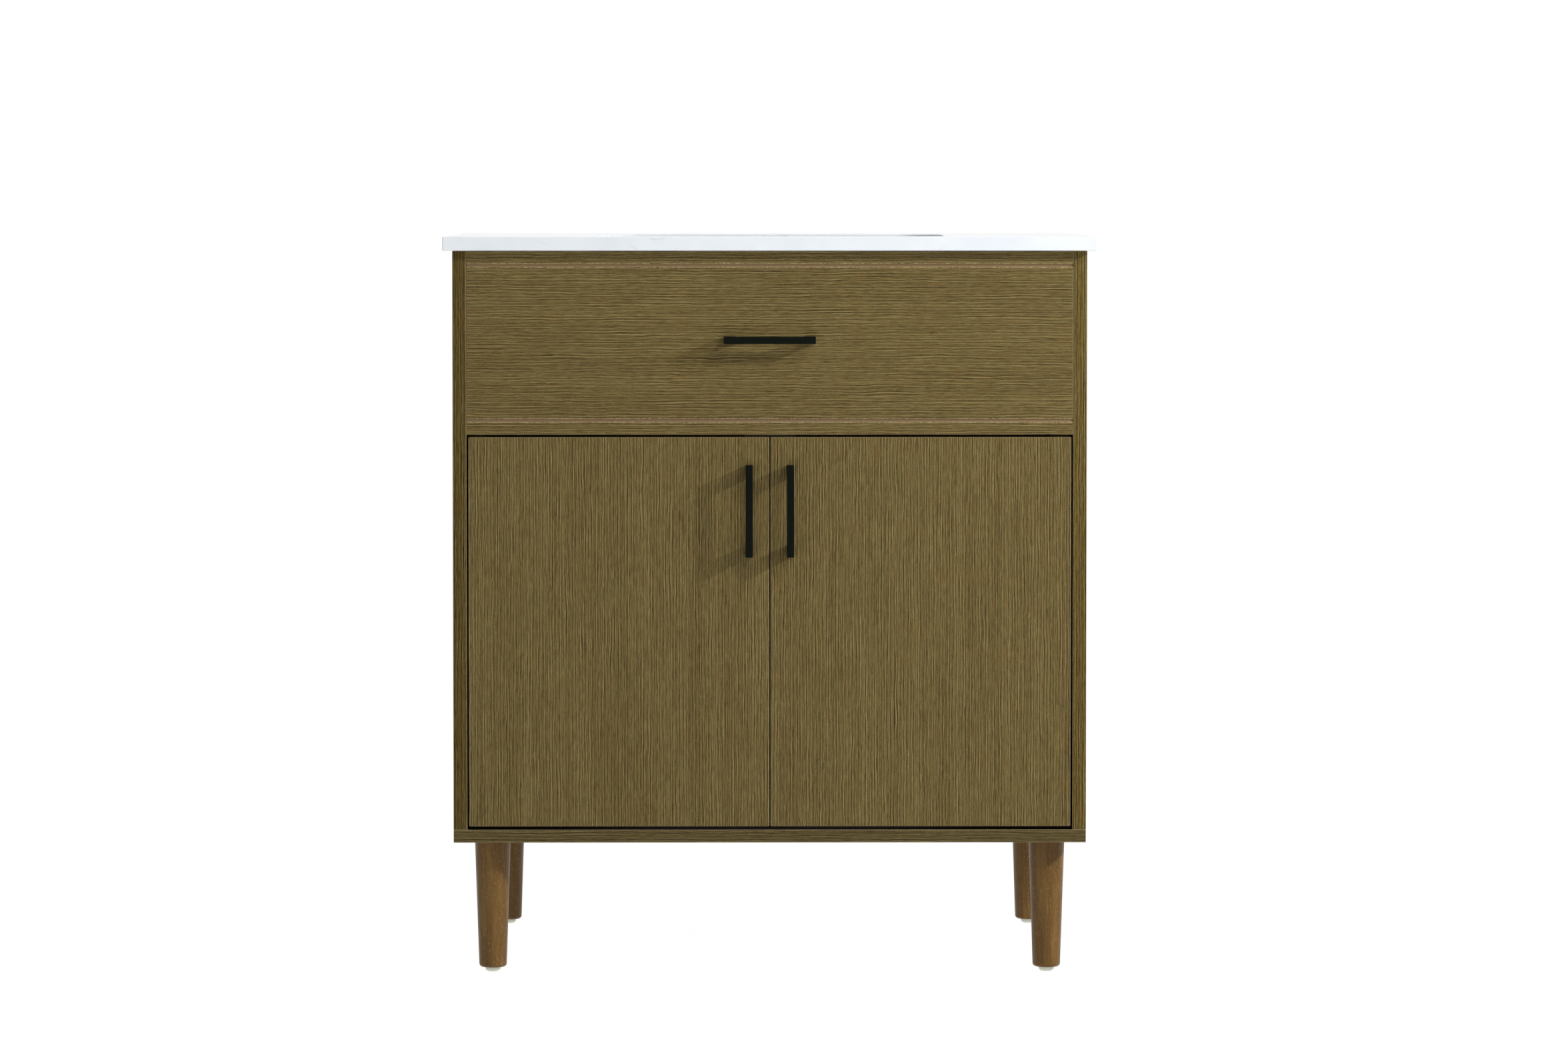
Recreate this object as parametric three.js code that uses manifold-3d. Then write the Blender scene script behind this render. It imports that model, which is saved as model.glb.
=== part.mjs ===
// A free-standing bathroom vanity cabinet on four tapered legs: a quartz slab with an undermount sink,
// two inset doors on concealed hinges, and one wide grooved drawer whose box goes round the sink.
// Millimetres. X runs to the right, the front faces -Y, Z is up, and the floor is z = 0.

import * as THREE from 'three';
import { mergeVertices } from 'three/addons/utils/BufferGeometryUtils.js';
import Module from 'manifold-3d';

const wasm = await Module();
wasm.setup();

// Driving dimensions.
const TOTAL_HEIGHT = 865;
const COUNTER = { width: 762, depth: 559, thickness: 16, ease: 0.75, corner: 3 };
const OVERHANG = { front: 12, side: 11 };
const BOARD = 16;
const DECK_THICKNESS = 15;
const GLIDE = { height: 5.5, radius: 9, foot: 5, domeRadius: 7.2, domeHeight: 1.4, rimHeight: 4.1 };
const LEG = { height: 151, topRadius: 21, bottomRadius: 16.25, round: 4, inset: 44, fromFront: 43 };
const TOP_RAIL = { height: 17, depth: 28 };
const LOWER_RAIL_DEPTH = 64;
const RAIL_GAP = 0.5;
const DRAWER_FRONT = { height: 214, topGap: 0.5, sideGap: 0.4 };
const GROOVE = { half: 2.2, depth: 2, fromBase: 16.5, fromTop: 16.75 };
const DOOR_GAP = { side: 2.25, middle: 0.75, top: 3, bottom: 4 };
const DOOR_EASE = 0.75;
const BACK = { thickness: 8, post: 40, cutWidth: 170, cutLow: 330, cutHigh: 590, cutRound: 20 };
const STRETCHER = { height: 80, thickness: 18 };
const CORNER_BLOCK = { leg: 28, height: 24 };
const PULL = { reach: 23, bar: 8.5, sheet: 4, post: 13.5, length: 107, ease: 0.5 };
const PULL_PLACE = { fromMiddle: 24, doorTop: 599, drawerZ: 745 };

const SINK = { centreY: -38.5, rimThickness: 10, depth: 132, wall: 7, drain: 22.5, fall: 4 };
const SLAB_CUT = { width: 420, depth: 290, round: 55 };
const RIM = { width: 480, depth: 350, radius: 70 };
const MOUTH = { width: 424, depth: 294, radius: 56 };
const FLOOR = { width: 356, depth: 226, radius: 44 };
// How far the bowl's rings stand out from its floor or mouth, and how far up or down they lie.
const COVE = { flat: -18, heel: -4, heelRise: 5, toe: 5, toeRise: 16, skew: 2 };
const SHOULDER = { inset: -6, drop: 24 };
const FAUCET = { spread: 101.5, radius: 17.5, y: 187.5 };
const CLIP = { width: 20, sheet: 3, under: 16, over: 22, spacing: 170, gap: 3 };

const PIVOT = { fromEdge: 22, fromFront: 8.5 };
const HINGE_FROM_END = 82;
const CUP = { radius: 17.5, wall: 2, floorFromFront: 3.5, floor: 1.5, rim: 1, pin: 1.5 };
const WING = { length: 58, width: 16 };
const ARM = { angle: 40, sheet: 2.5, eye: 3, bore: 1.75, elbow: 18.5, cross: 28, tail: 70, height: 14 };
const PLATE = { thickness: 4, from: 33, length: 36, height: 44 };
const FIT = 0.3;
const ROUND_SIDES = { leg: 28, glide: 20, cup: 32, pin: 16, eye: 12 };
const CORNER_STEPS = { slab: 8, sink: 7, foot: 4, door: 2 };

const CATCH = { width: 60, depth: 20, height: 20, gap: 0.5 };
const STRIKE = { width: 20, height: 14, thickness: 1.5, fromMiddle: 17, fromTop: 3 };

const BOX = { bottom: 668, height: 122, side: 12, thin: 10, back: 176, floorLift: 6, floorSheet: 6 };
const NOTCH = { half: 223, front: -196.5 };
const RUNNER = { gap: 13, z: 729, length: 400, fromFront: 31, sheet: 1.5 };
// Each runner member's web and lips, by their distance from the side panel.
const MEMBERS = {
  outer: { web: 0, lip: 11, half: 22 },
  middle: { web: 2.5, lip: 12, half: 17 },
  inner: { web: RUNNER.gap, lip: 5, half: 12.5 },
};

// Places worked out from them.
const REAR_Y = (COUNTER.depth - OVERHANG.front + PULL.reach) / 2;
const COUNTER_FRONT_Y = REAR_Y - COUNTER.depth;
const FACE_Y = COUNTER_FRONT_Y + OVERHANG.front;
const BEHIND_FACE_Y = FACE_Y + BOARD;
const BACK_Y = REAR_Y - BACK.thickness;
const OUTER_X = COUNTER.width / 2 - OVERHANG.side;
const INNER_X = OUTER_X - BOARD;
const SLAB_Z = TOTAL_HEIGHT - COUNTER.thickness;
const UNDERSIDE_Z = GLIDE.height + LEG.height;
const DECK_Z = UNDERSIDE_Z + DECK_THICKNESS;
const RAIL_Y = BEHIND_FACE_Y + RAIL_GAP;
const DRAWER_BASE_Z = SLAB_Z - DRAWER_FRONT.topGap - DRAWER_FRONT.height;
const DOOR_BASE_Z = DECK_Z + DOOR_GAP.bottom;
const DOOR_TOP_Z = DRAWER_BASE_Z - DOOR_GAP.top;
const DOOR_HINGE_X = INNER_X - DOOR_GAP.side;
const PIVOT_X = DOOR_HINGE_X - PIVOT.fromEdge;
const PIVOT_Y = FACE_Y + PIVOT.fromFront;
const BOX_X = INNER_X - RUNNER.gap;
const BOX_FRONT_Y = BEHIND_FACE_Y + BOX.side;
const BOX_TOP_Z = BOX.bottom + BOX.height;

const SIDES = [['left', -1], ['right', 1]];
const HINGE_LEVELS = [['lower', DOOR_BASE_Z + HINGE_FROM_END], ['upper', DOOR_TOP_Z - HINGE_FROM_END]];

const FINISHES = {
  walnut: { color: 0x6e5f3b, roughness: 0.55, metalness: 0 },
  legWood: { color: 0x705734, roughness: 0.45, metalness: 0 },
  boxWood: { color: 0xc2a878, roughness: 0.6, metalness: 0 },
  quartz: { color: 0xedf0f4, roughness: 0.2, metalness: 0 },
  ceramic: { color: 0xf6f6f4, roughness: 0.08, metalness: 0 },
  blackMetal: { color: 0x161a12, roughness: 0.5, metalness: 0.6 },
  steel: { color: 0xb9bcc0, roughness: 0.3, metalness: 1 },
  nylon: { color: 0xc9c8bd, roughness: 0.4, metalness: 0 },
};

// Exact axis changes: an outline in (y, z) extruded along +X, and one in (x, z) extruded towards -Y.
const ALONG_X = new THREE.Matrix4().set(0, 0, 1, 0, 1, 0, 0, 0, 0, 1, 0, 0, 0, 0, 0, 1);
const TOWARDS_FRONT = new THREE.Matrix4().set(1, 0, 0, 0, 0, 0, -1, 0, 0, 1, 0, 0, 0, 0, 0, 1);

function part(name, finish, geometry, position = [0, 0, 0]) {
  const mesh = new THREE.Mesh(geometry, new THREE.MeshStandardMaterial(FINISHES[finish]));
  mesh.name = name;
  mesh.position.set(...position);
  return mesh;
}

function block(name, finish, xs, ys, zs) {
  const spans = [xs, ys, zs];
  const size = spans.map(([from, to]) => Math.abs(to - from));
  const middle = spans.map(([from, to]) => (from + to) / 2);
  return part(name, finish, new THREE.BoxGeometry(...size), middle);
}

function outline(points) {
  return new THREE.Shape(points.map(([a, b]) => new THREE.Vector2(a, b)));
}

function roundedRectangle(low, high, radius, curve = new THREE.Shape()) {
  const [x0, y0] = low;
  const [x1, y1] = high;
  const quarter = Math.PI / 2;
  curve.moveTo(x0 + radius, y0);
  curve.lineTo(x1 - radius, y0);
  curve.absarc(x1 - radius, y0 + radius, radius, -quarter, 0, false);
  curve.lineTo(x1, y1 - radius);
  curve.absarc(x1 - radius, y1 - radius, radius, 0, quarter, false);
  curve.lineTo(x0 + radius, y1);
  curve.absarc(x0 + radius, y1 - radius, radius, quarter, 2 * quarter, false);
  curve.lineTo(x0, y0 + radius);
  curve.absarc(x0 + radius, y0 + radius, radius, 2 * quarter, 3 * quarter, false);
  return curve;
}

function extruded(shape, depth, ease = 0, curveSegments = CORNER_STEPS.slab) {
  const bevel = { bevelThickness: ease, bevelSize: ease, bevelOffset: -ease, bevelSegments: 1 };
  const options = { depth: depth - 2 * ease, bevelEnabled: ease > 0, curveSegments, ...bevel };
  return new THREE.ExtrudeGeometry(shape, options).translate(0, 0, ease);
}

function solid(geometry) {
  geometry.deleteAttribute('normal');
  geometry.deleteAttribute('uv');
  const merged = mergeVertices(geometry);
  const vertProperties = new Float32Array(merged.attributes.position.array);
  const triVerts = new Uint32Array(merged.index.array);
  return new wasm.Manifold(new wasm.Mesh({ numProp: 3, vertProperties, triVerts }));
}

function geometryOf(manifold) {
  const { vertProperties, triVerts } = manifold.getMesh();
  const geometry = new THREE.BufferGeometry();
  geometry.setAttribute('position', new THREE.BufferAttribute(vertProperties, 3));
  geometry.setIndex(new THREE.BufferAttribute(triVerts, 1));
  geometry.computeVertexNormals();
  return geometry;
}

// A ring of points on a rounded rectangle, anticlockwise from above, with the same count for every size.
function ring({ width, depth, radius, z }) {
  const steps = CORNER_STEPS.sink;
  const points = [];
  for (const [corner, [sx, sy]] of [[1, 1], [-1, 1], [-1, -1], [1, -1]].entries()) {
    for (let i = 0; i <= steps; i += 1) {
      const angle = (Math.PI / 2) * (corner + i / steps);
      const x = sx * (width / 2 - radius) + radius * Math.cos(angle);
      const y = sy * (depth / 2 - radius) + radius * Math.sin(angle);
      points.push([x, y, z]);
    }
  }
  return points;
}

// Joins a closed loop of rings into one skin, so the last ring meets the first.
function loopOfRings(rings) {
  const count = rings[0].length;
  const index = [];
  for (let r = 0; r < rings.length; r += 1) {
    const here = r * count;
    const next = ((r + 1) % rings.length) * count;
    for (let i = 0; i < count; i += 1) {
      const j = (i + 1) % count;
      index.push(here + i, next + j, here + j);
      index.push(here + i, next + i, next + j);
    }
  }
  const geometry = new THREE.BufferGeometry();
  geometry.setAttribute('position', new THREE.Float32BufferAttribute(rings.flat(2), 3));
  geometry.setIndex(index);
  geometry.computeVertexNormals();
  return geometry;
}

function countertop() {
  const half = COUNTER.width / 2;
  const slab = roundedRectangle([-half, COUNTER_FRONT_Y], [half, REAR_Y], COUNTER.corner);
  const bowlLow = [-SLAB_CUT.width / 2, SINK.centreY - SLAB_CUT.depth / 2];
  const bowlHigh = [SLAB_CUT.width / 2, SINK.centreY + SLAB_CUT.depth / 2];
  slab.holes.push(roundedRectangle(bowlLow, bowlHigh, SLAB_CUT.round, new THREE.Path()));
  for (const x of [-FAUCET.spread, 0, FAUCET.spread]) {
    slab.holes.push(new THREE.Path().absarc(x, FAUCET.y, FAUCET.radius, 0, 2 * Math.PI, false));
  }
  return part('countertop', 'quartz', extruded(slab, COUNTER.thickness, COUNTER.ease), [0, 0, SLAB_Z]);
}

// The bowl's skin, from the drain up the inside, over the rim and down the outside to the drain again.
function sink() {
  const { wall, depth, drain, fall, rimThickness } = SINK;
  const grown = (shape, by, z) => ({
    width: shape.width + 2 * by, depth: shape.depth + 2 * by, radius: shape.radius + by, z,
  });
  const hole = (radius, z) => ({ width: 2 * radius, depth: 2 * radius, radius: radius - FIT, z });
  const profile = [
    hole(drain, -depth - fall),
    grown(FLOOR, COVE.flat, -depth),
    grown(FLOOR, COVE.heel, -depth + COVE.heelRise),
    grown(FLOOR, COVE.toe, -depth + COVE.toeRise),
    grown(MOUTH, SHOULDER.inset, -SHOULDER.drop),
    grown(MOUTH, 0, 0),
    grown(RIM, 0, 0),
    grown(RIM, 0, -rimThickness),
    grown(MOUTH, wall, -rimThickness),
    grown(MOUTH, SHOULDER.inset + wall, -SHOULDER.drop),
    grown(FLOOR, COVE.toe + wall, -depth + COVE.toeRise - COVE.skew),
    grown(FLOOR, 0, -depth - wall + COVE.skew),
    grown(FLOOR, COVE.flat, -depth - wall),
    hole(drain + wall, -depth - wall - fall),
    hole(drain, -depth - wall - fall),
  ];
  return part('sink', 'ceramic', loopOfRings(profile.map(ring)), [0, SINK.centreY, SLAB_Z]);
}

// A stepped clip: one foot is screwed to the slab's underside, the other holds the sink's rim up.
function sinkClip(side, sign, end, y) {
  const riser = RIM.width / 2 + CLIP.gap;
  const rimBase = -SINK.rimThickness;
  const points = [
    [riser - CLIP.under - CLIP.gap, rimBase],
    [riser - CLIP.under - CLIP.gap, rimBase - CLIP.sheet],
    [riser + CLIP.sheet, rimBase - CLIP.sheet],
    [riser + CLIP.sheet, -CLIP.sheet],
    [riser + CLIP.over, -CLIP.sheet],
    [riser + CLIP.over, 0],
    [riser, 0],
    [riser, rimBase],
  ];
  const shape = outline(points.map(([x, z]) => [sign * x, z]));
  const geometry = extruded(shape, CLIP.width).applyMatrix4(TOWARDS_FRONT);
  return part(`sink_clip_${side}_${end}`, 'steel', geometry, [0, y + CLIP.width / 2, SLAB_Z]);
}

// The back has two openings for pipes, with a post between them.
function backPanel() {
  const panel = outline([[-INNER_X, DECK_Z], [INNER_X, DECK_Z], [INNER_X, SLAB_Z], [-INNER_X, SLAB_Z]]);
  for (const x of [BACK.post / 2, -BACK.post / 2 - BACK.cutWidth]) {
    const low = [x, BACK.cutLow];
    const high = [x + BACK.cutWidth, BACK.cutHigh];
    panel.holes.push(roundedRectangle(low, high, BACK.cutRound, new THREE.Path()));
  }
  const geometry = extruded(panel, BACK.thickness).applyMatrix4(TOWARDS_FRONT);
  return part('back_panel', 'walnut', geometry, [0, REAR_Y, 0]);
}

// Both front rails stand behind the drawer's front, and the back one carries the wall screws.
function rails() {
  const xs = [-INNER_X, INNER_X];
  const topZ = [SLAB_Z - TOP_RAIL.height, SLAB_Z];
  const lowerZ = [DRAWER_BASE_Z, DRAWER_BASE_Z + BOARD];
  const stretcherY = [BACK_Y - STRETCHER.thickness, BACK_Y];
  return [
    block('top_rail', 'walnut', xs, [RAIL_Y, RAIL_Y + TOP_RAIL.depth], topZ),
    block('lower_rail', 'walnut', xs, [RAIL_Y, RAIL_Y + LOWER_RAIL_DEPTH], lowerZ),
    block('back_stretcher', 'boxWood', xs, stretcherY, [SLAB_Z - STRETCHER.height, SLAB_Z]),
  ];
}

function cornerBlock(side, sign) {
  const triangle = outline([[0, 0], [-sign * CORNER_BLOCK.leg, 0], [0, CORNER_BLOCK.leg]]);
  const place = [sign * INNER_X, RAIL_Y + TOP_RAIL.depth, SLAB_Z - CORNER_BLOCK.height];
  return part(`corner_block_${side}`, 'boxWood', extruded(triangle, CORNER_BLOCK.height), place);
}

function leg(end, y, side, sign) {
  const { height, topRadius, bottomRadius, round } = LEG;
  const profile = [new THREE.Vector2(0, 0)];
  for (let i = 0; i <= CORNER_STEPS.foot; i += 1) {
    const angle = (Math.PI / 2) * (i / CORNER_STEPS.foot);
    const radius = bottomRadius - round + round * Math.sin(angle);
    profile.push(new THREE.Vector2(radius, round - round * Math.cos(angle)));
  }
  profile.push(new THREE.Vector2(topRadius, height), new THREE.Vector2(0, height));
  const geometry = new THREE.LatheGeometry(profile, ROUND_SIDES.leg).applyMatrix4(TOWARDS_FRONT);
  const x = sign * (OUTER_X - LEG.inset);
  return part(`leg_${end}_${side}`, 'legWood', geometry, [x, y, GLIDE.height]);
}

function glide(end, y, side, sign) {
  const profile = [
    new THREE.Vector2(0, 0),
    new THREE.Vector2(GLIDE.foot, 0),
    new THREE.Vector2(GLIDE.domeRadius, GLIDE.domeHeight),
    new THREE.Vector2(GLIDE.radius, GLIDE.rimHeight),
    new THREE.Vector2(GLIDE.radius, GLIDE.height),
    new THREE.Vector2(0, GLIDE.height),
  ];
  const geometry = new THREE.LatheGeometry(profile, ROUND_SIDES.glide).applyMatrix4(TOWARDS_FRONT);
  const x = sign * (OUTER_X - LEG.inset);
  return part(`glide_${end}_${side}`, 'nylon', geometry, [x, y, 0]);
}

function cabinet() {
  const body = new THREE.Group();
  body.add(countertop(), sink());
  body.add(block('bottom_panel', 'walnut', [-OUTER_X, OUTER_X], [FACE_Y, REAR_Y], [UNDERSIDE_Z, DECK_Z]));
  body.add(backPanel(), ...rails());
  const legRows = [['front', FACE_Y + LEG.fromFront], ['rear', REAR_Y - LEG.fromFront]];
  const clipRows = [['front', SINK.centreY - CLIP.spacing / 2], ['rear', SINK.centreY + CLIP.spacing / 2]];
  for (const [side, sign] of SIDES) {
    const xs = [sign * INNER_X, sign * OUTER_X];
    body.add(block(`side_panel_${side}`, 'walnut', xs, [FACE_Y, REAR_Y], [DECK_Z, SLAB_Z]));
    body.add(cornerBlock(side, sign));
    for (const [end, y] of legRows) {
      body.add(leg(end, y, side, sign), glide(end, y, side, sign));
    }
    for (const [end, y] of clipRows) {
      body.add(sinkClip(side, sign, end, y));
    }
    body.add(runner('outer', side, sign));
    for (const [level, z] of HINGE_LEVELS) {
      body.add(hingePlate(side, sign, level, z), hingeArm(side, sign, level, z));
    }
  }
  body.add(magneticCatch());
  return body;
}

// A flat bar with a longer post at each end, lying along X with its posts towards +Y.
function pullGeometry() {
  const { reach, bar, sheet, post, length, ease } = PULL;
  const half = length / 2;
  const points = [
    [-half, 0], [half, 0], [half, reach], [half - post, reach],
    [half - post, sheet], [post - half, sheet], [post - half, reach], [-half, reach],
  ];
  return extruded(outline(points), bar, ease).translate(0, 0, -bar / 2);
}

function doorPull(side, sign) {
  const geometry = pullGeometry().rotateY(Math.PI / 2);
  const place = [sign * PULL_PLACE.fromMiddle, FACE_Y - PULL.reach, PULL_PLACE.doorTop - PULL.length / 2];
  return part(`door_pull_${side}`, 'blackMetal', geometry, place);
}

function door(side, sign) {
  const inner = sign * DOOR_GAP.middle;
  const outer = sign * DOOR_HINGE_X;
  const low = [Math.min(inner, outer), DOOR_BASE_Z];
  const high = [Math.max(inner, outer), DOOR_TOP_Z];
  const panel = extruded(roundedRectangle(low, high, DOOR_EASE * 2), BOARD, DOOR_EASE, CORNER_STEPS.door);
  let body = solid(panel.applyMatrix4(TOWARDS_FRONT).translate(0, BEHIND_FACE_Y, 0));
  const boreFloor = FACE_Y + CUP.floorFromFront - FIT;
  for (const [, z] of HINGE_LEVELS) {
    const radius = CUP.radius + FIT;
    const bore = new THREE.CylinderGeometry(radius, radius, BOARD, ROUND_SIDES.cup);
    body = body.subtract(solid(bore.translate(sign * PIVOT_X, boreFloor + BOARD / 2, z)));
  }
  return part(`door_${side}`, 'walnut', geometryOf(body));
}

// The cup sits in the door's blind bore, with its pin across it and a screw wing above and below.
function hingeCup(side, sign, level, z) {
  const floorY = CUP.floorFromFront - PIVOT.fromFront;
  const mouthY = BOARD - PIVOT.fromFront + CUP.rim;
  const depth = mouthY - floorY;
  const tube = (radius, from) => solid(
    new THREE.CylinderGeometry(radius, radius, depth, ROUND_SIDES.cup).translate(0, from + depth / 2, 0),
  );
  const shell = tube(CUP.radius, floorY).subtract(tube(CUP.radius - CUP.wall, floorY + CUP.floor));
  const pinLength = 2 * CUP.radius - CUP.wall;
  const rod = new THREE.CylinderGeometry(CUP.pin, CUP.pin, pinLength, ROUND_SIDES.pin);
  const pin = solid(rod.rotateX(Math.PI / 2));
  const wing = solid(
    new THREE.BoxGeometry(WING.width, CUP.rim, WING.length).translate(0, mouthY - CUP.rim / 2, 0),
  );
  const wings = wing.subtract(tube(CUP.radius - CUP.wall / 2, floorY));
  const place = [sign * PIVOT_X, PIVOT_Y, z];
  return part(`hinge_cup_${side}_${level}`, 'steel', geometryOf(shell.add(pin).add(wings)), place);
}

// The bent arm: an eye on the pin, a slope out through the cup's mouth, then back round to its plate.
function hingeArm(side, sign, level, z) {
  const slope = THREE.MathUtils.degToRad(ARM.angle);
  const half = ARM.sheet / 2;
  const heel = PIVOT_X - INNER_X + PLATE.thickness;
  const spread = Math.asin(half / ARM.eye);
  const points = [];
  for (let i = 0; i <= ROUND_SIDES.eye; i += 1) {
    const angle = slope + spread + (2 * Math.PI - 2 * spread) * (i / ROUND_SIDES.eye);
    points.push([ARM.eye * Math.cos(angle), ARM.eye * Math.sin(angle)]);
  }
  const onSlope = (x, offset) => offset * Math.cos(slope) + (x + offset * Math.sin(slope)) * Math.tan(slope);
  const innerElbow = ARM.elbow - ARM.sheet;
  points.push([ARM.elbow, onSlope(ARM.elbow, -half)]);
  points.push([ARM.elbow, ARM.cross + ARM.sheet]);
  points.push([heel + ARM.sheet, ARM.cross + ARM.sheet]);
  points.push([heel + ARM.sheet, ARM.tail]);
  points.push([heel, ARM.tail]);
  points.push([heel, ARM.cross]);
  points.push([innerElbow, ARM.cross]);
  points.push([innerElbow, onSlope(innerElbow, half)]);
  const shape = outline(points.map(([x, y]) => [-sign * x, y]));
  shape.holes.push(new THREE.Path().absarc(0, 0, ARM.bore, 0, 2 * Math.PI, false));
  const place = [sign * PIVOT_X, PIVOT_Y, z - ARM.height / 2];
  return part(`hinge_arm_${side}_${level}`, 'steel', extruded(shape, ARM.height), place);
}

function hingePlate(side, sign, level, z) {
  const xs = [sign * INNER_X, sign * (INNER_X - PLATE.thickness)];
  const ys = [PIVOT_Y + PLATE.from, PIVOT_Y + PLATE.from + PLATE.length];
  const zs = [z - PLATE.height / 2, z + PLATE.height / 2];
  return block(`hinge_plate_${side}_${level}`, 'steel', xs, ys, zs);
}

// One catch under the lower rail holds both doors shut.
function magneticCatch() {
  const front = BEHIND_FACE_Y + STRIKE.thickness + CATCH.gap;
  const xs = [-CATCH.width / 2, CATCH.width / 2];
  const ys = [front, front + CATCH.depth];
  return block('magnetic_catch', 'nylon', xs, ys, [DRAWER_BASE_Z - CATCH.height, DRAWER_BASE_Z]);
}

function strikePlate(side, sign) {
  const middle = sign * STRIKE.fromMiddle;
  const xs = [middle - STRIKE.width / 2, middle + STRIKE.width / 2];
  const top = DOOR_TOP_Z - STRIKE.fromTop;
  const ys = [BEHIND_FACE_Y, BEHIND_FACE_Y + STRIKE.thickness];
  return block(`strike_plate_${side}`, 'steel', xs, ys, [top - STRIKE.height, top]);
}

function doorAssembly(side, sign) {
  const assembly = new THREE.Group();
  assembly.add(door(side, sign), doorPull(side, sign), strikePlate(side, sign));
  for (const [level, z] of HINGE_LEVELS) {
    assembly.add(hingeCup(side, sign, level, z));
  }
  return assembly;
}

// A runner member: a channel along Y, open towards its lips.
function runner(member, side, sign) {
  const { web, lip, half } = MEMBERS[member];
  const { sheet, length } = RUNNER;
  const back = web < lip ? web + sheet : web - sheet;
  const inner = half - sheet;
  const points = [
    [web, -half], [lip, -half], [lip, -inner], [back, -inner],
    [back, inner], [lip, inner], [lip, half], [web, half],
  ];
  const shape = outline(points.map(([depth, z]) => [-sign * depth, z]));
  const geometry = extruded(shape, length).applyMatrix4(TOWARDS_FRONT);
  const place = [sign * INNER_X, FACE_Y + RUNNER.fromFront + length, RUNNER.z];
  return part(`runner_${member}_${side}`, 'steel', geometry, place);
}

// The whole panel under the slab, scored right across by a V-groove near its base and another near its top.
function drawerFront() {
  const { height, sideGap } = DRAWER_FRONT;
  const { half, depth, fromBase, fromTop } = GROOVE;
  const notch = (z) => [[0, z + half], [depth, z], [0, z - half]];
  const grooves = [...notch(height - fromTop), ...notch(fromBase)];
  const points = [[BOARD, 0], [BOARD, height], [0, height], ...grooves, [0, 0]];
  const length = 2 * (INNER_X - sideGap);
  const geometry = extruded(outline(points), length).applyMatrix4(ALONG_X);
  return part('drawer_front', 'walnut', geometry, [-length / 2, FACE_Y, DRAWER_BASE_Z]);
}

function drawerBottom() {
  const side = BOX_X - BOX.side;
  const back = BOX.back - BOX.thin;
  const notchX = NOTCH.half + BOX.thin;
  const notchY = NOTCH.front - BOX.thin;
  const shape = outline([
    [-side, BOX_FRONT_Y], [side, BOX_FRONT_Y], [side, back], [notchX, back],
    [notchX, notchY], [-notchX, notchY], [-notchX, back], [-side, back],
  ]);
  const place = [0, 0, BOX.bottom + BOX.floorLift];
  return part('drawer_bottom', 'boxWood', extruded(shape, BOX.floorSheet), place);
}

// The drawer: a front flush with the cabinet's face, and a box open at the back round the sink.
function drawer() {
  const assembly = new THREE.Group();
  const heights = [BOX.bottom, BOX_TOP_Z];
  const pullAt = [0, FACE_Y - PULL.reach, PULL_PLACE.drawerZ];
  const pull = part('drawer_pull', 'blackMetal', pullGeometry(), pullAt);
  assembly.add(drawerFront(), pull, drawerBottom());
  assembly.add(block('drawer_box_front', 'boxWood', [-BOX_X, BOX_X], [BEHIND_FACE_Y, BOX_FRONT_Y], heights));
  const notchY = [NOTCH.front - BOX.thin, NOTCH.front];
  assembly.add(block('notch_front', 'boxWood', [-NOTCH.half, NOTCH.half], notchY, heights));
  for (const [side, sign] of SIDES) {
    const sideX = [sign * (BOX_X - BOX.side), sign * BOX_X];
    const notchX = [sign * NOTCH.half, sign * (NOTCH.half + BOX.thin)];
    const backX = [sign * (NOTCH.half + BOX.thin), sign * (BOX_X - BOX.side)];
    assembly.add(block(`drawer_side_${side}`, 'boxWood', sideX, [BOX_FRONT_Y, BOX.back], heights));
    assembly.add(block(`notch_side_${side}`, 'boxWood', notchX, [notchY[0], BOX.back], heights));
    assembly.add(block(`drawer_back_${side}`, 'boxWood', backX, [BOX.back - BOX.thin, BOX.back], heights));
    assembly.add(runner('inner', side, sign));
  }
  return assembly;
}

const group = new THREE.Group();
group.add(cabinet(), drawer());
for (const [side, sign] of SIDES) {
  group.add(doorAssembly(side, sign), runner('middle', side, sign));
}

export default group;
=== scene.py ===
import math

import bmesh
import bpy
from mathutils import Matrix, Vector


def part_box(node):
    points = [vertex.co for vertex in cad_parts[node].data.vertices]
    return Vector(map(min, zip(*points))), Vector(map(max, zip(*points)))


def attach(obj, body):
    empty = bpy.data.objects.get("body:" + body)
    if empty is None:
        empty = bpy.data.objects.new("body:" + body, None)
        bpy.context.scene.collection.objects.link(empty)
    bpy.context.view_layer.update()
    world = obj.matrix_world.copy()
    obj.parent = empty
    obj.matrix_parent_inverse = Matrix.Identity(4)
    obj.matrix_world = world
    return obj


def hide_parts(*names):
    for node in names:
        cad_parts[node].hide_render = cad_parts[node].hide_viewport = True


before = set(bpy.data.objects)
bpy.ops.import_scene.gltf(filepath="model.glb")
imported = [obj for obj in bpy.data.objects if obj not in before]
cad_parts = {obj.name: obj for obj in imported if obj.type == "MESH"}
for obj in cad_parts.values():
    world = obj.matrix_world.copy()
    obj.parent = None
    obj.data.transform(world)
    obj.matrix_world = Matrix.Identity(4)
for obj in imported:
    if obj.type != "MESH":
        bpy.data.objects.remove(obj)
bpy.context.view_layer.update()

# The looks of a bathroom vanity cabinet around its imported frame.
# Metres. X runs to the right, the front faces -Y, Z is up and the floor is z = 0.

MM = 0.001
SWELL_SIZE = (9 * MM, 70 * MM)
WAVES = [
    (3.8 * MM, 0.135, 0.9, (12 * MM, 110 * MM)),
    (2.65 * MM, 0.13, 0.9, (8 * MM, 80 * MM)),
    (2.0 * MM, 0.14, 1.2, (6 * MM, 40 * MM)),
]
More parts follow.
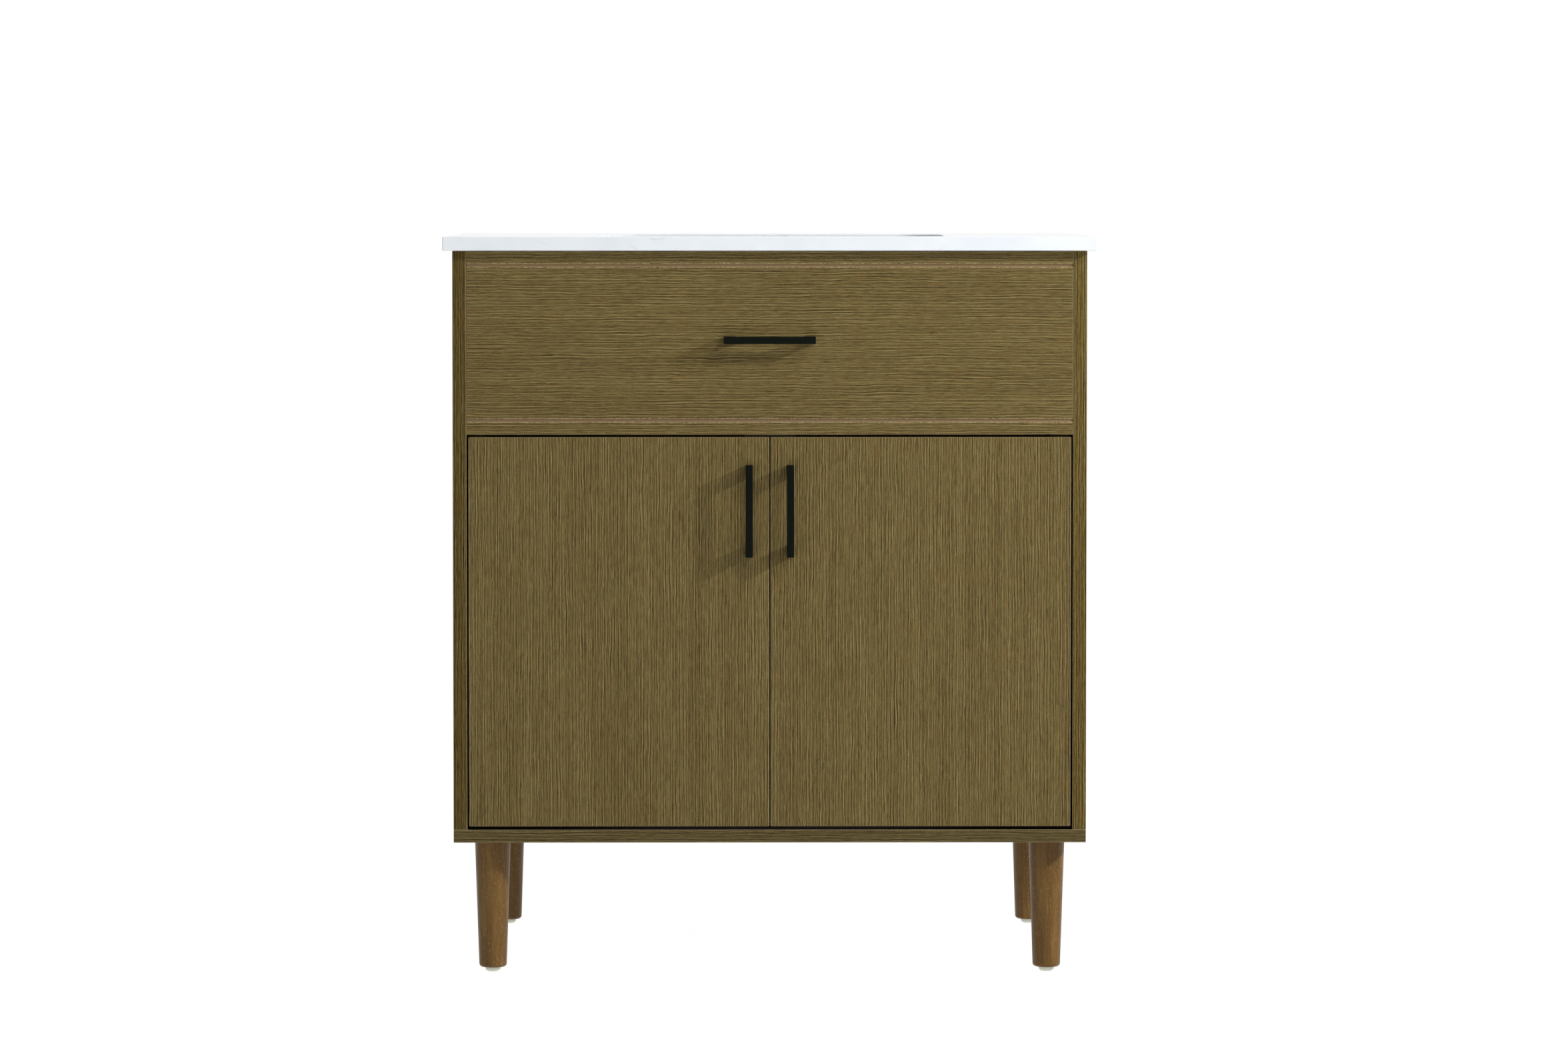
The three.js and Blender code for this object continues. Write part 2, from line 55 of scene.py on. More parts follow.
FIBRES = [
    ((13 * MM, 600 * MM), 1.0, 0.24),
    ((0.7 * MM, 1.3 * MM), 0.0, 0.28),
    ((0.5 * MM, 12 * MM), 2.0, 1.1),
    ((0.7 * MM, 80 * MM), 2.0, 0.75),
]
LAMINATE_BASE = (92, 79, 43)
LAMINATE_SPAN = (45, 45, 37)
WARM_STREAK = (108, 77, 36)
# Pale colour on rounded arrises: partly edge wear, partly a painted highlight where the edges catch the
# light.
ARRIS = (152, 138, 108)
RAW_BOARD, RAW_DIP = (128, 106, 74), 0.84
CHIPS = (158, 144, 116)
GROOVE = {"half": 2.2 * MM, "from_base": 16.5 * MM, "from_top": 16.75 * MM}
BOWL_CUT = {"width": 420 * MM, "depth": 290 * MM, "round": 55 * MM}
TAPS = {"spacing": 101.5 * MM, "y": 187.5 * MM, "radius": 17.5 * MM, "sides": 48}
PULL_SHEET, PULL_POST = 4 * MM, 13.5 * MM
PROUD = 0.35 * MM
SIDES = (("left", -1), ("right", 1))
LEVELS = ("lower", "upper")
ENDS = ("front", "rear")
SHARP = math.radians(34)
WELD_GAP, FACE_WEIGHT = 0.01 * MM, 80


# ---------------------------------------------------------------- shader helpers

def srgb(red, green, blue):
    """Linear RGBA of a display colour given in 0 to 255 steps."""
    def linear(step):
        value = step / 255
        return value / 12.92 if value <= 0.04045 else ((value + 0.055) / 1.055) ** 2.4
    return (linear(red), linear(green), linear(blue), 1.0)


class Look:
    """A Principled material whose nodes are added by short calls that return sockets."""

    def __init__(self, name, **sockets):
        self.material = bpy.data.materials.new(name)
        self.material.use_nodes = True
        self.tree = self.material.node_tree
        self.shader = self.tree.nodes["Principled BSDF"]
        self.place = self.node("TexCoord").outputs["Object"]
        for socket, value in sockets.items():
            self.put(self.shader, socket.replace("_", " "), value)

    def node(self, kind, inputs=None, **settings):
        made = self.tree.nodes.new("ShaderNode" + kind)
        for key, value in settings.items():
            setattr(made, key, value)
        for socket, value in (inputs or {}).items():
            self.put(made, socket, value)
        return made

    def put(self, node, socket, value):
        if isinstance(value, bpy.types.NodeSocket):
            self.tree.links.new(value, node.inputs[socket])
        else:
            node.inputs[socket].default_value = value

    def calc(self, operation, *values):
        return self.node("Math", dict(enumerate(values)), operation=operation).outputs[0]

    def vector(self, operation, *values):
        return self.node("VectorMath", dict(enumerate(values)), operation=operation).outputs[0]

    def noise(self, place, sizes, detail=2.0, roughness=0.5, colour=False):
        """Noise whose marks measure the three sizes in metres; about 0 to 1."""
        scaled = self.vector("MULTIPLY", place, [1 / size for size in sizes])
        inputs = {"Vector": scaled, "Scale": 1.0, "Detail": detail, "Roughness": roughness}
        made = self.node("TexNoise", inputs, noise_dimensions="3D")
        return made.outputs["Color" if colour else "Fac"]

    def remap(self, value, low, high, to_low=0.0, to_high=1.0):
        inputs = {"Value": value, "From Min": low, "From Max": high, "To Min": to_low, "To Max": to_high}
        return self.node("MapRange", inputs, clamp=True).outputs["Result"]

    def ramp(self, value, stops):
        made = self.node("ValToRGB", {"Fac": value})
        elements = made.color_ramp.elements
        while len(elements) < len(stops):
            elements.new(0.5)
        for element, (position, colour) in zip(elements, stops):
            element.position = position
            element.color = colour
        return made.outputs["Color"]

    def mix(self, share, first, second, blend="MIX"):
        made = self.node("Mix", data_type="RGBA", blend_type=blend)
        self.put(made, 0, share)
        self.put(made, 6, first)
        self.put(made, 7, second)
        return made.outputs[2]

    def bump(self, height, distance, strength=1.0):
        made = self.node("Bump", {"Height": height, "Distance": distance, "Strength": strength})
        self.put(self.shader, "Normal", made.outputs["Normal"])

    def edges(self):
        """1 on chamfers and rounded arrises, 0 on faces square to the axes."""
        normal = self.node("TexCoord").outputs["Normal"]
        parts = self.node("SeparateXYZ", {"Vector": self.vector("ABSOLUTE", normal)}).outputs
        most = self.calc("MAXIMUM", self.calc("MAXIMUM", parts[0], parts[1]), parts[2])
        return self.remap(most, 0.992, 0.9)


def grain_sizes(axis, across, lengthwise):
    """Mark sizes for a grain that runs along one axis."""
    sizes = [across] * 3
    sizes["XYZ".index(axis)] = lengthwise
    return sizes


# ---------------------------------------------------------------- materials

def laminate_tone(look, axis):
    """Near-regular streaks across the grain, with finer fibres over them; 0 is the mean."""
    across = [part for part in "XYZ" if part != axis]
    sway = look.noise(look.place, grain_sizes(axis, 16 * MM, 38 * MM), 1.0, colour=True)
    sway = look.vector("MULTIPLY", look.vector("SUBTRACT", sway, [0.5] * 3), [2 * MM] * 3)
    place = look.vector("ADD", look.place, sway)
    parts = look.node("SeparateXYZ", {"Vector": place}).outputs
    span = look.calc("ADD", parts[across[0]], parts[across[1]])
    swell = look.noise(place, grain_sizes(axis, *SWELL_SIZE), 0.0)
    swell = look.remap(swell, 0.3, 0.7, 0.5, 1.35)
    tone = 0.0
    for pitch, share, wander, size in WAVES:
        drift = look.noise(look.place, grain_sizes(axis, *size), 0.0)
        phase = look.calc("MULTIPLY_ADD", drift, wander, look.calc("MULTIPLY", span, 1 / pitch))
        wave = look.calc("SINE", look.calc("MULTIPLY", phase, 2 * math.pi))
        tone = look.calc("MULTIPLY_ADD", look.calc("MULTIPLY", wave, swell), share, tone)
    for size, detail, share in FIBRES:
        fibres = look.noise(place, grain_sizes(axis, *size), detail, 0.6)
        tone = look.calc("MULTIPLY_ADD", look.calc("SUBTRACT", fibres, 0.5), share, tone)
    return tone


def laminate(name, axis, painted_shade=1.0, wear_and_highlight=1.0, sheen=0.15, grooved=False):
    """Fine straight-grained brown laminate with paler arrises (edge wear plus painted highlight), raw board
    inside scored grooves, and painted shade where painted_shade darkens the whole colour.
    """
    look = Look(name, Specular_IOR_Level=sheen)
    tone = laminate_tone(look, axis)
    stops = []
    for share in (-1, -0.5, 0, 0.5, 1):
        reach = share * (1.1 if share < 0 else 0.9)
        shade = [base + reach * span for base, span in zip(LAMINATE_BASE, LAMINATE_SPAN)]
        stops.append((0.5 + share / 2, srgb(*shade)))
    colour = look.ramp(look.calc("ADD", tone, 0.5), stops)
    warmth = look.remap(look.noise(look.place, grain_sizes(axis, 0.001, 0.03), 1.0), 0.5, 0.66)
    colour = look.mix(look.calc("MULTIPLY", warmth, 0.32), colour, srgb(*WARM_STREAK))
    # Painted shade: the whole colour is darkened by painted_shade; 1.0 leaves it as it is.
    colour = look.mix(1.0, colour, (painted_shade, painted_shade, painted_shade, 1), "MULTIPLY")
    wear_and_glint = look.noise(look.place, (0.0016, 0.0016, 0.0016), 2.0, 0.6)
    # Painted highlight mixed with edge wear: the rounded arrises are lightened, in patches.
    arris = look.calc("MULTIPLY", look.edges(), look.remap(wear_and_glint, 0.3, 0.6, 0.55 * wear_and_highlight, 0.95 * wear_and_highlight))
    if grooved:
        colour, arris = scored(look, colour, arris, wear_and_glint)
    colour = look.mix(arris, colour, srgb(*ARRIS))
    look.put(look.shader, "Base Color", colour)
    look.put(look.shader, "Roughness", look.remap(tone, -0.3, 0.3, 0.68, 0.54))
    look.bump(tone, 0.00006, 0.5)
    return look.material


def scored(look, colour, arris, wear_and_glint):
    """Raw board in the drawer front's two grooves, with torn pale chips along their lips."""
    low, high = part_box("drawer_front")
    parts = look.node("SeparateXYZ", {"Vector": look.place}).outputs
    off = [look.calc("ABSOLUTE", look.calc("SUBTRACT", parts["Z"], z))
           for z in (low.z + GROOVE["from_base"], high.z - GROOVE["from_top"])]
    away = look.calc("MINIMUM", *off)
    ragged = look.calc("MULTIPLY_ADD", look.calc("SUBTRACT", wear_and_glint, 0.5), 1.1 * MM, away)
    inside = look.remap(ragged, GROOVE["half"], GROOVE["half"] - 0.25 * MM)
    chips = look.noise(look.place, (0.0028, 0.0028, 0.0009), 2.0, 0.7)
    lip = look.calc("ABSOLUTE", look.calc("SUBTRACT", away, GROOVE["half"]))
    lip = look.calc("MULTIPLY", look.remap(lip, 0.75 * MM, 0.25 * MM), look.remap(chips, 0.44, 0.6))
    board = look.ramp(look.noise(look.place, (0.0011, 0.0008, 0.0008), 3.0, 0.7),
                      [(0.3, srgb(*(step * RAW_DIP for step in RAW_BOARD))), (0.7, srgb(*RAW_BOARD))])
    colour = look.mix(inside, colour, board)
    colour = look.mix(look.calc("MULTIPLY", lip, 0.85), colour, srgb(*CHIPS))
    clear = look.remap(away, GROOVE["half"] + 1.5 * MM, GROOVE["half"] + 2 * MM)
    return colour, look.calc("MULTIPLY", arris, clear)


def turned_wood():
    """Warm brown turned legs with pale flecks under a satin lacquer."""
    look = Look("leg_wood", Specular_IOR_Level=0.15)
    look.put(look.shader, "Coat Weight", 0.04)
    look.put(look.shader, "Coat Roughness", 0.22)
    drift = look.noise(look.place, (0.02, 0.02, 0.05), 1.0, colour=True)
    drift = look.vector("MULTIPLY", look.vector("SUBTRACT", drift, [0.5] * 3), [0.006] * 3)
    place = look.vector("ADD", look.place, drift)
    fibres = look.noise(place, (0.0014, 0.0014, 0.04), 2.0, 0.6)
    bands = look.noise(place, (0.009, 0.009, 0.16), 2.0, 0.5)
    flecks = look.remap(look.noise(place, (0.0009, 0.0009, 0.0036), 1.0), 0.64, 0.72)
    patches = look.remap(look.noise(place, (0.012, 0.012, 0.03), 1.0), 0.4, 0.6, 0.25, 0.8)
    flecks = look.calc("MULTIPLY", flecks, patches)
    tone = look.calc("MULTIPLY_ADD", fibres, 0.75, -0.4)
    tone = look.calc("MULTIPLY_ADD", bands, 1.1, tone)
    stops = [(0.0, srgb(68, 44, 15)), (0.5, srgb(92, 66, 29)), (1.0, srgb(118, 88, 44))]
    colour = look.ramp(tone, stops)
    colour = look.mix(flecks, colour, srgb(146, 117, 72))
    look.put(look.shader, "Base Color", colour)
    look.put(look.shader, "Roughness", look.remap(fibres, 0.3, 0.7, 0.46, 0.34))
    look.bump(fibres, 0.00008, 0.5)
    return look.material


def drawer_wood(name, axis):
    """Pale birch for the drawer box and the hidden frame."""
    look = Look(name, Specular_IOR_Level=0.35)
    drift = look.noise(look.place, grain_sizes(axis, 0.03, 0.12), 1.0, colour=True)
    drift = look.vector("MULTIPLY", look.vector("SUBTRACT", drift, [0.5] * 3), [0.02] * 3)
    place = look.vector("ADD", look.place, drift)
    rings = look.noise(place, grain_sizes(axis, 0.009, 0.3), 3.0, 0.6)
    fibres = look.noise(look.place, grain_sizes(axis, 0.0012, 0.03), 2.0, 0.6)
    tone = look.calc("MULTIPLY_ADD", rings, 1.1, look.calc("MULTIPLY_ADD", fibres, 0.6, -0.35))
    stops = [(0.0, srgb(168, 137, 94)), (0.5, srgb(198, 170, 126)), (1.0, srgb(218, 194, 152))]
    look.put(look.shader, "Base Color", look.ramp(tone, stops))
    look.put(look.shader, "Roughness", look.remap(fibres, 0.3, 0.7, 0.62, 0.5))
    look.bump(fibres, 0.00006, 0.5)
    return look.material


def quartz():
    """Polished near-white quartz with faint clouds and a few short hairline veins."""
    look = Look("quartz", Roughness=0.06, Specular_IOR_Level=0.5)
    warp = look.noise(look.place, (0.16, 0.16, 0.16), 3.0, 0.55, colour=True)
    warp = look.vector("MULTIPLY", look.vector("SUBTRACT", warp, [0.5] * 3), [0.26] * 3)
    place = look.vector("ADD", look.place, warp)
    line = look.calc("ABSOLUTE", look.calc("SUBTRACT", look.noise(place, (0.1, 0.21, 0.14), 2.0), 0.5))
    vein = look.remap(line, 0.0, 0.007, 1.0, 0.0)
    patchy = look.remap(look.noise(look.place, (0.022, 0.022, 0.022), 2.0), 0.5, 0.66)
    vein = look.calc("MULTIPLY", vein, patchy)
    cloud = look.noise(look.place, (0.07, 0.07, 0.07), 3.0, 0.55)
    grain = look.noise(look.place, (0.0012, 0.0012, 0.0012), 1.0)
    tone = look.calc("MULTIPLY_ADD", look.calc("SUBTRACT", grain, 0.5), 0.35, cloud)
    colour = look.ramp(tone, [(0.3, srgb(206, 211, 216)), (0.7, srgb(214, 218, 222))])
    colour = look.mix(look.calc("MULTIPLY", vein, 0.55), colour, srgb(176, 180, 188))
    look.put(look.shader, "Base Color", colour)
    return look.material


def glaze():
    """White glazed ceramic with a faint unevenness."""
    look = Look("ceramic", Roughness=0.07, Specular_IOR_Level=0.5)
    look.put(look.shader, "Coat Weight", 0.5)
    look.put(look.shader, "Coat Roughness", 0.04)
    cloud = look.noise(look.place, (0.05, 0.05, 0.05), 2.0)
    shades = [(0.3, srgb(214, 215, 214)), (0.7, srgb(222, 223, 222))]
    look.put(look.shader, "Base Color", look.ramp(cloud, shades))
    look.bump(look.noise(look.place, (0.012, 0.012, 0.012), 1.0), 0.0001, 0.3)
    return look.material


def black_metal():
    """Matte black powder coat."""
    look = Look("black_metal", Metallic=0.0, Specular_IOR_Level=0.06)
    grit = look.noise(look.place, (0.0004, 0.0004, 0.0004), 2.0, 0.6)
    look.put(look.shader, "Base Color", look.ramp(grit, [(0.3, srgb(5, 8, 4)), (0.7, srgb(11, 14, 8))]))
    look.put(look.shader, "Roughness", look.remap(grit, 0.3, 0.7, 0.5, 0.62))
    look.bump(grit, 0.00003, 0.4)
    return look.material


def steel(name, tone, roughness):
    """Plated steel with fine rolling marks along Y."""
    look = Look(name, Metallic=1.0)
    marks = look.noise(look.place, (0.0003, 0.02, 0.0003), 2.0, 0.6)
    dark = srgb(*(step * 0.86 for step in tone))
    look.put(look.shader, "Base Color", look.ramp(marks, [(0.3, dark), (0.7, srgb(*tone))]))
    look.put(look.shader, "Roughness", look.remap(marks, 0.3, 0.7, roughness, roughness + 0.12))
    look.bump(marks, 0.00002, 0.3)
    return look.material


def plastic(name, tone, roughness):
    """Moulded plastic with a fine texture."""
    look = Look(name, Specular_IOR_Level=0.45)
    skin = look.noise(look.place, (0.0012, 0.0012, 0.0012), 2.0)
    dark = srgb(*(step * 0.95 for step in tone))
    look.put(look.shader, "Base Color", look.ramp(skin, [(0.35, dark), (0.65, srgb(*tone))]))
    look.put(look.shader, "Roughness", look.remap(skin, 0.3, 0.7, roughness, roughness + 0.1))
    look.bump(skin, 0.00003, 0.3)
    return look.material


LAMINATE = {axis: laminate(f"laminate_{axis.lower()}", axis) for axis in "XZ"}
DOOR = laminate("laminate_door", "Z", wear_and_highlight=0.3)
SCORED = laminate("laminate_scored", "X", grooved=True)
# Painted shade: the side panels and the bottom panel are copies of the laminate darkened to stand for their
# shaded faces, the left side darker than the right.
PAINTED_SHADE_SIDES = {side: laminate(f"laminate_side_{side}", "Z", painted_shade, sheen=0.0)
              for side, painted_shade in (("left", 0.7), ("right", 0.9))}
PAINTED_SHADE_BASE = laminate("laminate_base_painted_shade", "X", 0.68)
BIRCH = {axis: drawer_wood(f"birch_{axis.lower()}", axis) for axis in "XY"}
LEG_WOOD = turned_wood()
QUARTZ = quartz()
CERAMIC = glaze()
BLACK = black_metal()
ZINC = steel("zinc_steel", (186, 189, 193), 0.26)
NYLON = plastic("nylon", (206, 206, 190), 0.38)
CATCH = plastic("catch_plastic", (86, 76, 50), 0.55)


# ---------------------------------------------------------------- mesh helpers

def mesh_from(bm, name, sharp=SHARP):
    """Ends a bmesh as a smooth-shaded mesh with its corners marked sharp."""
    bmesh.ops.recalc_face_normals(bm, faces=bm.faces)
    for face in bm.faces:
        face.smooth = True
    for edge in bm.edges:
        edge.smooth = edge.calc_face_angle(0.0) < sharp
    mesh = bpy.data.meshes.new(name)
    bm.to_mesh(mesh)
    bm.free()
    return mesh


def place_piece(name, mesh, material, body, replaces=()):
    """Links a new piece with its material and even normals, rides it on a body and hides the frame nodes it
    replaces.
    """
    piece = bpy.data.objects.new(name, mesh)
    bpy.context.scene.collection.objects.link(piece)
    if not mesh.materials:
        mesh.materials.append(material)
    normals = piece.modifiers.new("even_normals", "WEIGHTED_NORMAL")
    normals.weight = FACE_WEIGHT
    normals.keep_sharp = True
    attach(piece, body)
    if replaces:
        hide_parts(*replaces)
    return piece


def skin_rings(bm, rings, closed=False):
    """Joins rings of points into a skin; closed joins last to first, otherwise both ends are capped."""
    loops = [[bm.verts.new(point) for point in ring] for ring in rings]
    count = len(loops[0])
    pairs = list(zip(loops, loops[1:]))
    if closed:
        pairs.append((loops[-1], loops[0]))
    for lower, upper in pairs:
        for i in range(count):
            j = (i + 1) % count
            bm.faces.new((lower[i], lower[j], upper[j], upper[i]))
    if not closed:
        bm.faces.new(reversed(loops[0]))
        bm.faces.new(loops[-1])


def lathe(profile, segments):
    """A solid of revolution about Z from (radius, height) pairs, flat at both ends."""
    bm = bmesh.new()
    turns = [2 * math.pi * i / segments for i in range(segments)]
    skin_rings(bm, [[(r * math.cos(t), r * math.sin(t), z) for t in turns] for r, z in profile])
    return bm


def arc(centre, radius, start, end, steps):
    """Points on an arc in the plane, by angles in degrees."""
    angles = [math.radians(start + (end - start) * i / steps) for i in range(steps + 1)]
    return [(centre[0] + radius * math.cos(a), centre[1] + radius * math.sin(a)) for a in angles]


def rounded_rectangle(width, depth, radius, per_corner=12):
    """Points anticlockwise round a rounded rectangle centred on the origin."""
    points = []
    for corner, (sx, sy) in enumerate(((1, 1), (-1, 1), (-1, -1), (1, -1))):
        centre = (sx * (width / 2 - radius), sy * (depth / 2 - radius))
        points += arc(centre, radius, 90 * corner, 90 * corner + 90, per_corner)
    return points


def centre_of(node):
    low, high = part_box(node)
    return (low + high) / 2


# ---------------------------------------------------------------- boards and plates kept from the frame

def dress(name, material, round_edge, segments=3):
    """Gives a frame node its material, and rounds its edges without touching its mesh."""
    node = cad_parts[name]
    node.data.materials.clear()
    node.data.materials.append(material)
    weld = node.modifiers.new("weld", "WELD")
    weld.merge_threshold = WELD_GAP
    bevel = node.modifiers.new("round_edges", "BEVEL")
    bevel.width = round_edge
    bevel.segments = segments
    bevel.limit_method = "ANGLE"
    bevel.angle_limit = SHARP
    bevel.use_clamp_overlap = True
    normals = node.modifiers.new("even_normals", "WEIGHTED_NORMAL")
    normals.weight = FACE_WEIGHT
    normals.keep_sharp = False


def dress_frame():
    birch_across = ["back_stretcher", "drawer_box_front", "notch_front"]
    birch_deep = ["drawer_bottom"]
    metal = []
    for side, _ in SIDES:
        dress(f"side_panel_{side}", PAINTED_SHADE_SIDES[side], 0.55 * MM)
        dress(f"door_{side}", DOOR, 0.3 * MM)
        birch_across += [f"drawer_back_{side}", f"corner_block_{side}"]
        birch_deep += [f"drawer_side_{side}", f"notch_side_{side}"]
        metal += [f"runner_{member}_{side}" for member in ("outer", "middle", "inner")]
        metal += [f"sink_clip_{side}_{end}" for end in ENDS] + [f"strike_plate_{side}"]
        metal += [f"hinge_{member}_{side}_{level}" for member in ("cup", "arm", "plate") for level in LEVELS]
    dress("back_panel", LAMINATE["Z"], 0.5 * MM)
    for name in ("top_rail", "lower_rail"):
        dress(name, LAMINATE["X"], 0.5 * MM)
    dress("drawer_front", SCORED, 0.35 * MM)
    dress("bottom_panel", PAINTED_SHADE_BASE, 0.6 * MM)
    for name in birch_across:
        dress(name, BIRCH["X"], 0.8 * MM)
    for name in birch_deep:
        dress(name, BIRCH["Y"], 0.8 * MM)
    for name in metal:
        dress(name, ZINC, 0.2 * MM, 2)
    dress("magnetic_catch", CATCH, 0.8 * MM)


# ---------------------------------------------------------------- finer pieces in place of frame nodes

def slab():
    """The quartz slab, with its bowl cut-out, three tap holes and eased edges."""
    low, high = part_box("countertop")
    bowl = centre_of("sink")
    ease, corner = 0.8 * MM, 1.2 * MM
    curve = bpy.data.curves.new("countertop_outline", "CURVE")
    curve.dimensions = "2D"
    curve.fill_mode = "BOTH"
    curve.extrude = (high.z - low.z) / 2 - ease
    curve.bevel_depth = ease
    curve.bevel_resolution = 3
    curve.offset = -ease
    middle = (low + high) / 2
    size = high - low
    cut = rounded_rectangle(BOWL_CUT["width"], BOWL_CUT["depth"], BOWL_CUT["round"], 24)
    outlines = [[(middle.x + x, middle.y + y) for x, y in rounded_rectangle(size.x, size.y, corner)]]
    outlines.append([(bowl.x + x, bowl.y + y) for x, y in cut])
    last_turn = 360 - 360 / TAPS["sides"]
    for place in (-1, 0, 1):
        centre = (place * TAPS["spacing"], TAPS["y"])
        outlines.append(arc(centre, TAPS["radius"], 0, last_turn, TAPS["sides"] - 1))
    for points in outlines:
        spline = curve.splines.new("POLY")
        spline.points.add(len(points) - 1)
        for target, (x, y) in zip(spline.points, points):
            target.co = (x, y, 0, 1)
        spline.use_cyclic_u = True
    shape = bpy.data.objects.new("countertop_outline", curve)
    bpy.context.scene.collection.objects.link(shape)
    bpy.context.view_layer.update()
    mesh = bpy.data.meshes.new_from_object(shape.evaluated_get(bpy.context.evaluated_depsgraph_get()))
    bpy.data.objects.remove(shape)
    bm = bmesh.new()
    bm.from_mesh(mesh)
    bpy.data.meshes.remove(mesh)
    bmesh.ops.remove_doubles(bm, verts=bm.verts, dist=0.005 * MM)
    bmesh.ops.translate(bm, verts=bm.verts, vec=(0, 0, middle.z))
    place_piece("quartz_slab", mesh_from(bm, "quartz_slab"), QUARTZ, "cabinet", ["countertop"])


def basin():
    """The undermount bowl: one skin from the drain up the inside, over the rim and down the outside."""
    low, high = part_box("sink")
    middle = (low + high) / 2
    wall, drain, depth, fall = 7 * MM, 22.5 * MM, 132 * MM, 4 * MM
    mouth_width, mouth_depth = BOWL_CUT["width"] + 4 * MM, BOWL_CUT["depth"] + 4 * MM
    mouth_round, least_round = BOWL_CUT["round"] + 1 * MM, 20 * MM
    draft, cove, flat = 24 * MM, 30 * MM, 30 * MM
    rim, rim_round, lip = 10 * MM, 70 * MM, 1 * MM
    inside = [(0.0, 0.0), (1.5 * MM, -6 * MM), (draft * 0.55, -depth + cove * 1.6)]
    for degrees in range(10, 91, 10):
        turn = math.radians(degrees)
        inside.append((draft - cove * math.cos(turn) + cove, -depth + cove - cove * math.sin(turn)))
    inside.append((draft + cove + flat, -depth - 0.6 * MM))

    def level(width, span, radius, height):
        turns = rounded_rectangle(width, span, radius, 16)
        return [(middle.x + x, middle.y + y, high.z + height) for x, y in turns]

    def ring(inset, height, grow=0.0):
        width = mouth_width - 2 * inset + 2 * grow
        span = mouth_depth - 2 * inset + 2 * grow
        return level(width, span, max(mouth_round - inset * 0.5, least_round) + grow, height)

    def drain_ring(radius, height):
        return level(2 * radius, 2 * radius, radius - 0.05 * MM, height)

    def rim_ring(grow, height):
        size = high - low
        return level(size.x + 2 * grow, size.y + 2 * grow, rim_round + grow, height)

    rings = [drain_ring(drain, -depth - fall - 1.5 * MM), drain_ring(drain + 1.5 * MM, -depth - fall)]
    rings += [ring(inset, height) for inset, height in reversed(inside)]
    rings += [rim_ring(-lip, 0.0), rim_ring(0.0, -lip)]
    rings += [rim_ring(0.0, lip - rim), rim_ring(-lip, -rim)]
    outside = [(inset, min(height, -rim)) for inset, height in inside[1:]]
    rings += [ring(inset, height - (wall if inset > draft else 0), wall) for inset, height in outside]
    rings += [drain_ring(drain + wall, -depth - fall - wall), drain_ring(drain, -depth - fall - wall)]
    bm = bmesh.new()
    skin_rings(bm, rings, closed=True)
    place_piece("basin", mesh_from(bm, "basin", math.radians(50)), CERAMIC, "cabinet", ["sink"])


def legs():
    """Straight-tapered legs with a rounded foot, and the glides under them."""
    taper, edge, hole, ease = 4.75 * MM, 4 * MM, 4 * MM, 0.4 * MM
    for end in ENDS:
        for side, _ in SIDES:
            node = f"leg_{end}_{side}"
            low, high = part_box(node)
            middle = (low + high) / 2
            height = high.z - low.z
            top_radius = (high.x - low.x) / 2
            foot_radius = top_radius - taper
            profile = [(hole, 0), (foot_radius - edge, 0)]
            profile += arc((foot_radius - edge, edge), edge, -80, 0, 8)
            profile += [(foot_radius + (top_radius - foot_radius) * t, edge + (height - edge) * t)
                        for t in (0.25, 0.5, 0.75)]
            profile += [(top_radius, height - ease), (top_radius - ease, height)]
            bm = lathe(profile, 96)
            bmesh.ops.translate(bm, verts=bm.verts, vec=(middle.x, middle.y, low.z))
            mesh = mesh_from(bm, f"turned_{node}")
            place_piece(f"turned_{node}", mesh, LEG_WOOD, "cabinet", [node])
            glide(end, side)


def glide(end, side):
    """A domed nail-on glide."""
    node = f"glide_{end}_{side}"
    low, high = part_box(node)
    middle = (low + high) / 2
    radius = (high.x - low.x) / 2
    height = high.z - low.z
    foot, edge, steps = 4.6 * MM, 0.3 * MM, 10
    dome = height * 0.72
    profile = [(foot, 0)]
    for i in range(1, steps + 1):
        turn = math.radians(90 * i / steps)
        profile.append((foot + (radius - foot) * math.sin(turn), dome * (1 - math.cos(turn))))
    profile += [(radius, height - edge), (radius - edge, height)]
    bm = lathe(profile, 64)
    bmesh.ops.translate(bm, verts=bm.verts, vec=(middle.x, middle.y, low.z))
    place_piece(f"domed_{node}", mesh_from(bm, f"domed_{node}"), NYLON, "cabinet", [node])


def pull(node, body, upright):
    """A flat black bar with a post at each end."""
    low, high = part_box(node)
    middle = (low + high) / 2
    size = high - low
    length, bar, reach = max(size.x, size.z), min(size.x, size.z), size.y
    half = length / 2
    post = half - PULL_POST
    outline = [
        (-half, 0), (half, 0), (half, reach), (post, reach),
        (post, PULL_SHEET), (-post, PULL_SHEET), (-post, reach), (-half, reach),
    ]
    bm = bmesh.new()
    rings = [[(x, y - reach / 2, z) for x, y in outline] for z in (-bar / 2, bar / 2)]
    skin_rings(bm, rings)
    bmesh.ops.bevel(bm, geom=bm.edges[:], offset=0.55 * MM, segments=3, affect="EDGES", profile=0.5)
    if upright:
        bmesh.ops.rotate(bm, verts=bm.verts, cent=(0, 0, 0), matrix=Matrix.Rotation(math.pi / 2, 3, "Y"))
    bmesh.ops.translate(bm, verts=bm.verts, vec=middle)
    place_piece(f"bar_{node}", mesh_from(bm, f"bar_{node}"), BLACK, body, [node])


def fine_pieces():
    slab()
    basin()
    legs()
    pull("drawer_pull", "drawer", False)
    for side, _ in SIDES:
        pull(f"door_pull_{side}", f"{side}_door", True)


# ---------------------------------------------------------------- small hardware

